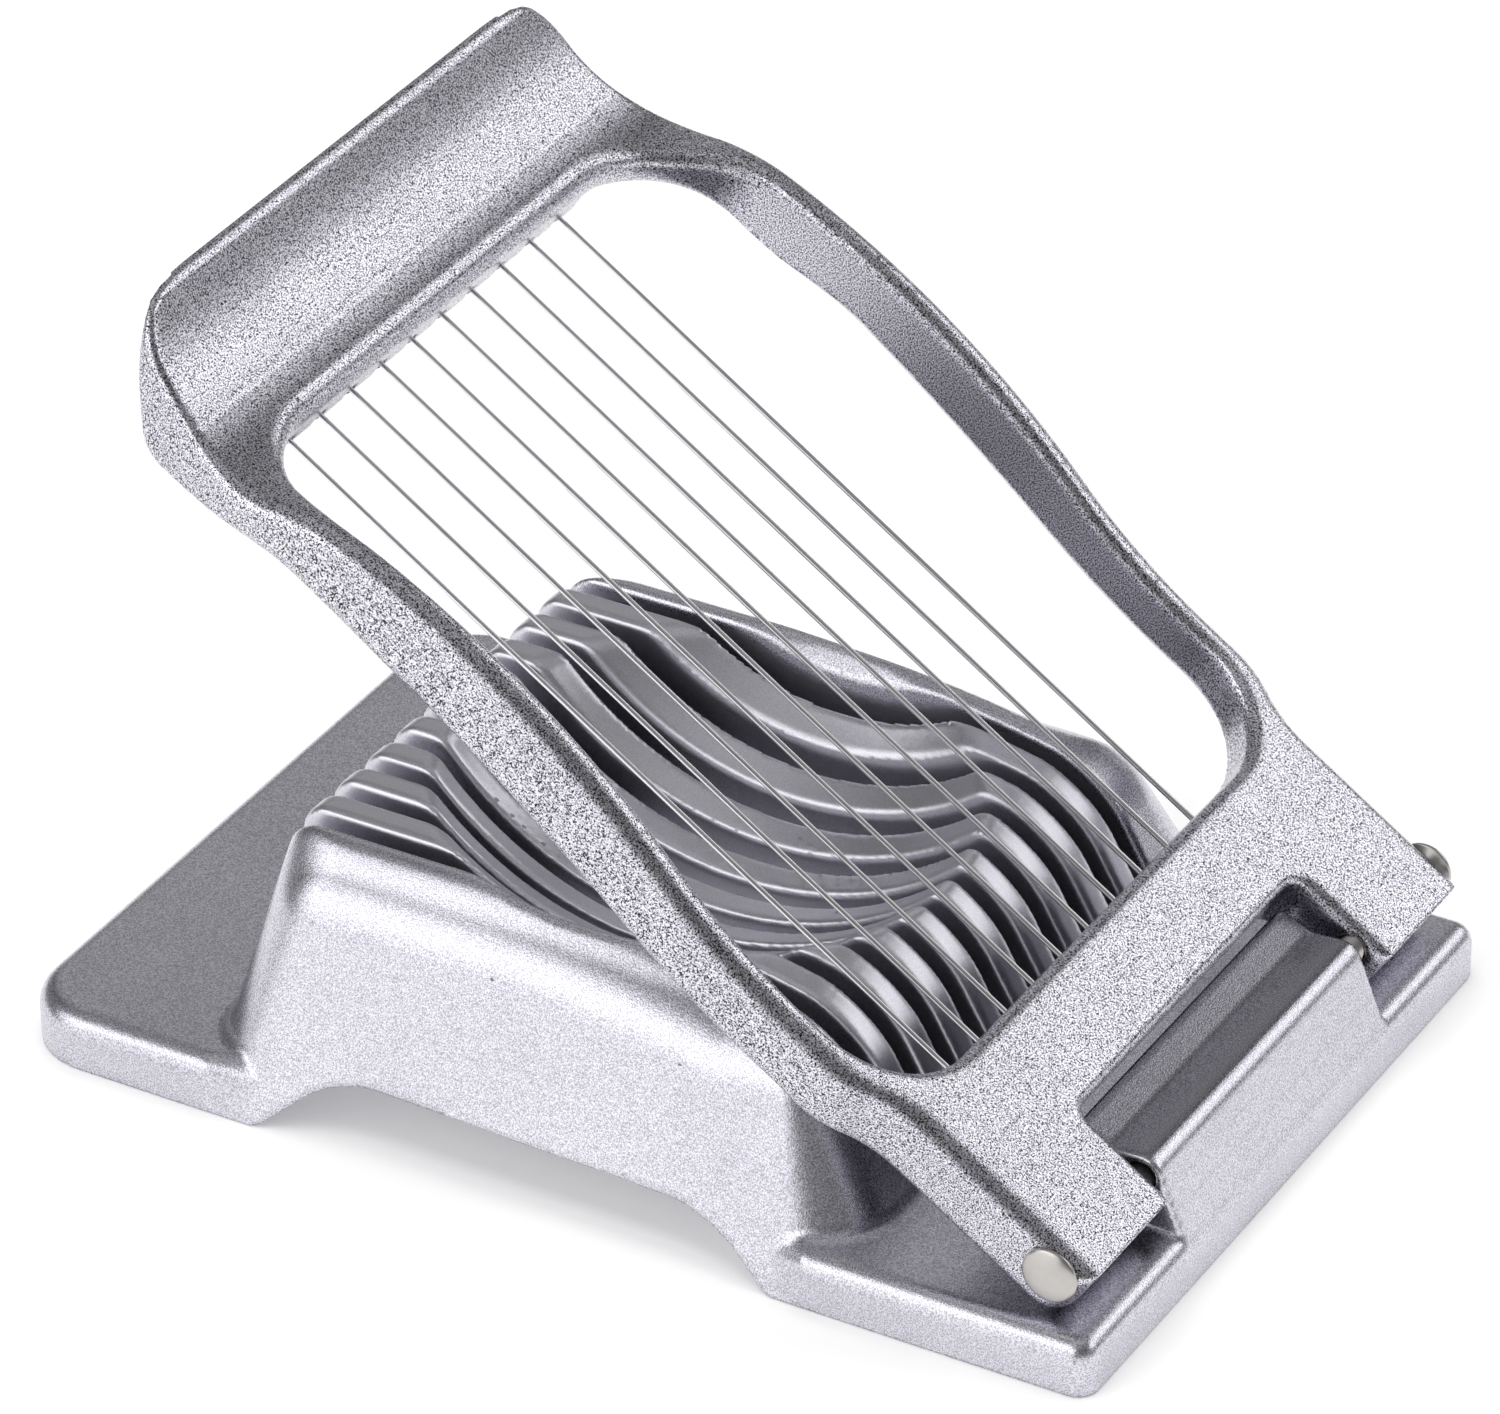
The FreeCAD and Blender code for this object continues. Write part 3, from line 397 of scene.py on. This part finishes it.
def rivet_profile(end, tip):
    """Radius and place along the axis of a domed rivet, from the end of its shank to the top of its head."""
    seat = tip - RIVET_HEAD
    cap = RIVET_HEAD - RIVET_RIM
    dome = (RIVET_HEAD_HALF ** 2 + cap ** 2) / (2 * cap)
    edge = math.asin((RIVET_HEAD_HALF - RIVET_EDGE) / dome)
    crown = [(dome * math.sin(angle), tip - dome + dome * math.cos(angle))
             for angle in np.linspace(edge, 0, DOME_RINGS)]
    rim = (RIVET_HEAD_HALF, seat + RIVET_RIM - RIVET_EDGE / 2)
    corner = (RIVET_HEAD_HALF, seat + RIVET_RIM)
    bend = [tuple((1 - t) ** 2 * a + 2 * t * (1 - t) * b + t * t * c
                  for a, b, c in zip(rim, corner, crown[0])) for t in np.linspace(0, 1, RIM_RINGS)]
    shank = [(0, end), (RIVET_HALF - SHANK_CHAMFER, end), (RIVET_HALF, end + SHANK_CHAMFER),
             (RIVET_HALF, seat)]
    underside = [(RIVET_HEAD_HALF - HEAD_CHAMFER, seat), (RIVET_HEAD_HALF, seat + HEAD_CHAMFER)]
    return shank + underside + bend + crown[1:]


def turn_rivet(side, end, tip):
    """Points and faces of a rivet turned about the hinge axis. Side is -1 right and 1 left."""
    rings = rivet_profile(end, tip)[1:-1]
    points = [(HINGE_X, side * end, HINGE_HEIGHT)]
    for radius, out in rings:
        for turn in 2 * math.pi * np.arange(RIVET_SIDES) / RIVET_SIDES:
            x, z = HINGE_X + radius * math.sin(turn), HINGE_HEIGHT + radius * math.cos(turn)
            points.append((x, side * out, z))
    points.append((HINGE_X, side * tip, HINGE_HEIGHT))

    last = len(points) - 1
    starts = [1 + ring * RIVET_SIDES for ring in range(len(rings))]
    faces = []
    for here in range(RIVET_SIDES):
        beside = (here + 1) % RIVET_SIDES
        faces.append((0, starts[0] + here, starts[0] + beside))
        for low, high in zip(starts, starts[1:]):
            faces.append((low + here, high + here, high + beside, low + beside))
        faces.append((starts[-1] + here, last, starts[-1] + beside))
    return np.array(points), [face[::-side] for face in faces]


def add_piece(name, node, body, points, faces, material):
    """Smooth mesh that stands for a CAD node and moves with its body."""
    mesh = bpy.data.meshes.new(name)
    mesh.from_pydata((points * MM).tolist(), [], faces)
    mesh.shade_smooth()
    piece = bpy.data.objects.new(name, mesh)
    bpy.context.scene.collection.objects.link(piece)
    mesh.materials.append(material)
    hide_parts(node)
    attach(piece, body)


def add_base(material):
    """Base casting, turned from reach to the X of the part."""
    axes = grid(BASE_STEP, (-HINGE_INSET, BASE_FRONT), BASE_HALF, (0, BED_HEIGHT))
    points, faces = skin(base_field(*axes), axes)
    points[:, 0] = HINGE_X - points[:, 0]
    add_piece("base_casting", "base", "base_body", points,
              faces[:, ::-1].tolist(), material)


def add_frame(material):
    """Cutting frame casting, raised about the hinge to its place at rest."""
    axes = grid(FRAME_STEP, (-EAR_END, FRAME_REACH), FRAME_HALF, (-FRAME_DEPTH, FRAME_TOP))
    points, faces = skin(frame_field(*axes), axes)
    reach, lift = points[:, 0].copy(), points[:, 2].copy()
    cos, sin = math.cos(RAISED_ANGLE), math.sin(RAISED_ANGLE)
    points[:, 0] = HINGE_X - reach * cos + lift * sin
    points[:, 2] = HINGE_HEIGHT + reach * sin + lift * cos
    add_piece("frame_casting", "cutting_frame", "frame_body", points,
              faces[:, ::-1].tolist(), material)


def add_rivets(material):
    """A domed rivet on each side, as long as its CAD node."""
    for hand, side in (("right", -1), ("left", 1)):
        node = "hinge_rivet_" + hand
        end, tip = sorted(abs(corner[1]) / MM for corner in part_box(node))
        points, faces = turn_rivet(side, end, tip)
        add_piece("rivet_" + hand, node, "base_body", points, faces, material)


def feed(owner, socket, value):
    """Link a socket of a material or world to another socket, or set its value."""
    if isinstance(value, bpy.types.NodeSocket):
        owner.node_tree.links.new(value, socket)
    else:
        socket.default_value = value


def add_node(owner, kind, **inputs):
    """Add a shader node and feed its inputs by name."""
    node = owner.node_tree.nodes.new(kind)
    for name, value in inputs.items():
        feed(owner, node.inputs[name.replace("_", " ")], value)
    return node


def calculate(owner, operation, *values):
    """Add a math node, feed its inputs in order and return its result."""
    node = add_node(owner, "ShaderNodeMath")
    node.operation = operation
    for socket, value in zip(node.inputs, values):
        feed(owner, socket, value)
    return node.outputs[0]


def mix(owner, method, share, first, second):
    """Mix two colours by a share and return the result. Inputs 6 and 7 and output 2 of the node are its
    colours."""
    node = add_node(owner, "ShaderNodeMix")
    node.data_type = "RGBA"
    node.blend_type = method
    for index, value in ((0, share), (6, first), (7, second)):
        feed(owner, node.inputs[index], value)
    return node.outputs[2]


def ramp(owner, factor, stops):
    """Colour ramp between stops of position and colour."""
    node = add_node(owner, "ShaderNodeValToRGB", Fac=factor)
    while len(node.color_ramp.elements) < len(stops):
        node.color_ramp.elements.new(0.5)
    for element, (position, colour) in zip(node.color_ramp.elements, stops):
        element.position = position
        element.color = (*colour, 1)
    return node.outputs["Color"]


def new_metal(name):
    """Metal material, with its shader and the place on the object."""
    material = bpy.data.materials.new(name)
    material.use_nodes = True
    shader = material.node_tree.nodes["Principled BSDF"]
    shader.inputs["Metallic"].default_value = 1.0
    place = add_node(material, "ShaderNodeTexCoord").outputs["Object"]
    return material, shader, place


def within(material, place, low, high):
    """Share that is 1 inside a box with two corners in millimetres and 0 outside it."""
    split = add_node(material, "ShaderNodeSeparateXYZ", Vector=place)
    shares = []
    for axis, start, end in zip("XYZ", low, high):
        middle, half = (start + end) / 2 * MM, (end - start) / 2 * MM
        shares.append(calculate(material, "COMPARE", split.outputs[axis], middle, half))
    return calculate(material, "MULTIPLY", calculate(material, "MULTIPLY", *shares[:2]), shares[2])


def over_bed(material, place):
    """Share that is 1 over the ribs of the egg bed and 0 elsewhere on the base."""
    half = LAST_WIRE + SLOT_HALF
    return within(material, place, (HINGE_X - BED_FRONT, -half, FOOT_HEIGHT + BED_ROOT / 2),
                  (HINGE_X - BED_REAR, half, BED_HEIGHT + BED_RIM))


def lug_painted_shade(material, place):
    """Share that is 1 over the top of the hinge lug, where shade is painted into the colour, and 0 elsewhere
    on the base.
    """
    half = LUG_HALF - LUG_EDGE / 2
    return within(material, place, (HINGE_X - LUG_FRONT + LUG_EDGE / 2, -half, LUG_CREASE[1] - LUG_EDGE),
                  (HINGE_X - LUG_REAR_TOP[0] - LUG_REAR_EDGE / 2, half, LUG_FRONT_TOP[1]))


def cast_aluminium(name, tones, roughness, satin=None, painted_shade=None):
    """Satin finish of blasted aluminium: grain in tones from dark to light, over slow clouds of tone. Where
    the satin share is 1 the grain is thin and the surface softer, and where the share of painted shade is 1
    the colour is darkened as painted shade."""
    material, shader, place = new_metal(name)
    grain = add_node(material, "ShaderNodeTexNoise", Vector=place, Scale=1 / (GRAIN_SIZE * MM), Detail=1.0)
    grain = grain.outputs["Fac"]
    clouds = add_node(material, "ShaderNodeTexNoise", Vector=place, Scale=90.0, Detail=4.0, Roughness=0.6)
    flecks = [(stop, [part * tone for part in ALUMINIUM_TINT]) for stop, tone in zip(GRAIN_STOPS, tones)]
    veil = ramp(material, clouds.outputs["Fac"], [(0.3, (0.93, 0.93, 0.94)), (0.7, (1.0, 1.0, 1.0))])
    colour = mix(material, "MULTIPLY", 1.0, ramp(material, grain, flecks), veil)
    rough = add_node(material, "ShaderNodeMapRange", Value=grain, To_Min=roughness - ROUGHNESS_SPREAD,
                     To_Max=roughness + ROUGHNESS_SPREAD).outputs["Result"]
    strength = GRAIN_RELIEF
    if satin:
        share = calculate(material, "MULTIPLY", satin(material, place), SATIN_SHARE)
        colour = mix(material, "MIX", share, colour, SATIN_COLOUR)
        rough = calculate(material, "MULTIPLY_ADD", share, SATIN_ROUGHNESS, rough)
        strength = calculate(material, "MULTIPLY_ADD", share, -GRAIN_RELIEF, GRAIN_RELIEF)
    # Painted shade: the colour is darkened over the top of the hinge lug
    if painted_shade:
        colour = mix(material, "MULTIPLY", painted_shade(material, place), colour, PAINTED_SHADE_TONE)
    bump = add_node(material, "ShaderNodeBump", Height=grain, Strength=strength, Distance=GRAIN_DEPTH * MM)
    feed(material, shader.inputs["Base Color"], colour)
    feed(material, shader.inputs["Roughness"], rough)
    feed(material, shader.inputs["Normal"], bump.outputs["Normal"])
    return material


def drawn_steel(name, colour, roughness, scale):
    """Bright steel with faint drawing marks."""
    material, shader, place = new_metal(name)
    marks = add_node(material, "ShaderNodeTexNoise", Vector=place, Scale=scale, Detail=3.0, Roughness=0.6)
    marks = marks.outputs["Fac"]
    tone = ramp(material, marks, [(0.3, [MARK_TONE * part for part in colour]), (0.7, colour)])
    rough = add_node(material, "ShaderNodeMapRange", Value=marks, To_Min=roughness * 0.9,
                     To_Max=roughness * 1.1)
    bump = add_node(material, "ShaderNodeBump", Height=marks, Strength=0.05, Distance=MARK_DEPTH * MM)
    feed(material, shader.inputs["Base Color"], tone)
    feed(material, shader.inputs["Roughness"], rough.outputs["Result"])
    feed(material, shader.inputs["Normal"], bump.outputs["Normal"])
    return material


def white_floor():
    """Floor that looks white to the eye and in reflections, and keeps part of the shadow on it."""
    material = bpy.data.materials.new("white_floor")
    material.use_nodes = True
    material.node_tree.nodes.clear()
    path = add_node(material, "ShaderNodeLightPath").outputs
    seen = calculate(material, "MAXIMUM", path["Is Camera Ray"], path["Is Glossy Ray"])
    seen = calculate(material, "MAXIMUM", seen, path["Is Transmission Ray"])
    paper = add_node(material, "ShaderNodeBsdfDiffuse", Color=(1, 1, 1, 1))
    glow = add_node(material, "ShaderNodeEmission", Color=(1, 1, 1, 1), Strength=1.0)
    share = calculate(material, "MULTIPLY", seen, FLOOR_GLOW)
    surface = add_node(material, "ShaderNodeMixShader", Fac=share)
    feed(material, surface.inputs[1], paper.outputs[0])
    feed(material, surface.inputs[2], glow.outputs[0])
    add_node(material, "ShaderNodeOutputMaterial", Surface=surface.outputs[0])
    return material


def add_floor():
    """Wide flat floor at the foot of the slicer."""
    mesh = bpy.data.meshes.new("floor")
    corners = [(FLOOR_HALF * x, FLOOR_HALF * y, 0) for x, y in ((-1, -1), (1, -1), (1, 1), (-1, 1))]
    mesh.from_pydata(corners, [], [(0, 1, 2, 3)])
    floor = bpy.data.objects.new("floor", mesh)
    bpy.context.scene.collection.objects.link(floor)
    mesh.materials.append(white_floor())


def add_sky():
    """Studio surround: grey at the horizon, darker higher up and lighter overhead."""
    world = bpy.data.worlds.new("studio")
    bpy.context.scene.world = world
    world.use_nodes = True
    place = add_node(world, "ShaderNodeTexCoord").outputs["Generated"]
    height = add_node(world, "ShaderNodeSeparateXYZ", Vector=place).outputs["Z"]
    tone = ramp(world, height, [(position, (grey, grey, grey)) for position, grey in SKY_TONES])
    feed(world, world.node_tree.nodes["Background"].inputs["Color"], tone)


def add_softbox(name, toward, width, height, brightness, distance=LAMP_DISTANCE, mirrored=True):
    """Soft light in a direction from the object. Its brightness is that of its face, which shiny metal
    mirrors or not."""
    lamp = bpy.data.lights.new(name, "AREA")
    lamp.shape = "RECTANGLE"
    lamp.size = width
    lamp.size_y = height
    lamp.energy = brightness * math.pi * width * height
    light = bpy.data.objects.new(name, lamp)
    bpy.context.scene.collection.objects.link(light)
    light.location = Vector(toward).normalized() * distance
    light.visible_glossy = mirrored
    light.rotation_euler = (-light.location).to_track_quat("-Z", "Y").to_euler()


def add_camera():
    """Camera at the photograph's viewing angle, turned in degrees about X, Y and Z."""
    camera = bpy.data.objects.new("camera", bpy.data.cameras.new("camera"))
    bpy.context.scene.collection.objects.link(camera)
    camera.location = CAMERA_PLACE
    camera.rotation_euler = [math.radians(angle) for angle in CAMERA_TURN]
    camera.data.lens = CAMERA_LENS
    bpy.context.scene.camera = camera


# The base casting's colour carries painted shade over the top of the hinge lug
add_base(cast_aluminium("base_aluminium", (0.44, 0.60, 0.70, 0.86), 0.27, satin=over_bed, painted_shade=lug_painted_shade))
add_frame(cast_aluminium("frame_aluminium", (0.02, 0.46, 0.68, 0.97), 0.28))
add_rivets(drawn_steel("rivet_steel", (0.55, 0.53, 0.51), roughness=0.3, scale=1500.0))
wire_steel = drawn_steel("wire_steel", (0.84, 0.84, 0.86), roughness=0.06, scale=300.0)
ferrule_steel = drawn_steel("ferrule_steel", (0.60, 0.60, 0.62), roughness=0.35, scale=1200.0)
finishes = {"wire": wire_steel, "rear_ferrule": ferrule_steel, "front_ferrule": ferrule_steel}
for name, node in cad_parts.items():
    kind = name.rsplit("_", 1)[0]
    if kind in finishes:
        node.data.materials.clear()
        node.data.materials.append(finishes[kind])

add_floor()
add_sky()
add_softbox("front_softbox", (-0.45, -0.89, 0.44), width=1.4, height=0.96, brightness=1.0)
add_softbox("brow_softbox", (-0.47, -0.62, 0.63), width=1.2, height=0.6, brightness=0.8, distance=1.05)
add_softbox("rear_softbox", (0.59, 0.63, 0.515), width=1.16, height=0.45, brightness=1.5)
add_softbox("left_fill", (-0.42, 0.74, 0.52), width=0.8, height=0.5, brightness=0.26)
add_softbox("top_softbox", (0.0, 0.0, 1.0), width=1.0, height=1.0, brightness=3.05, mirrored=False)
add_camera()
bpy.context.scene.view_settings.view_transform = "Standard"
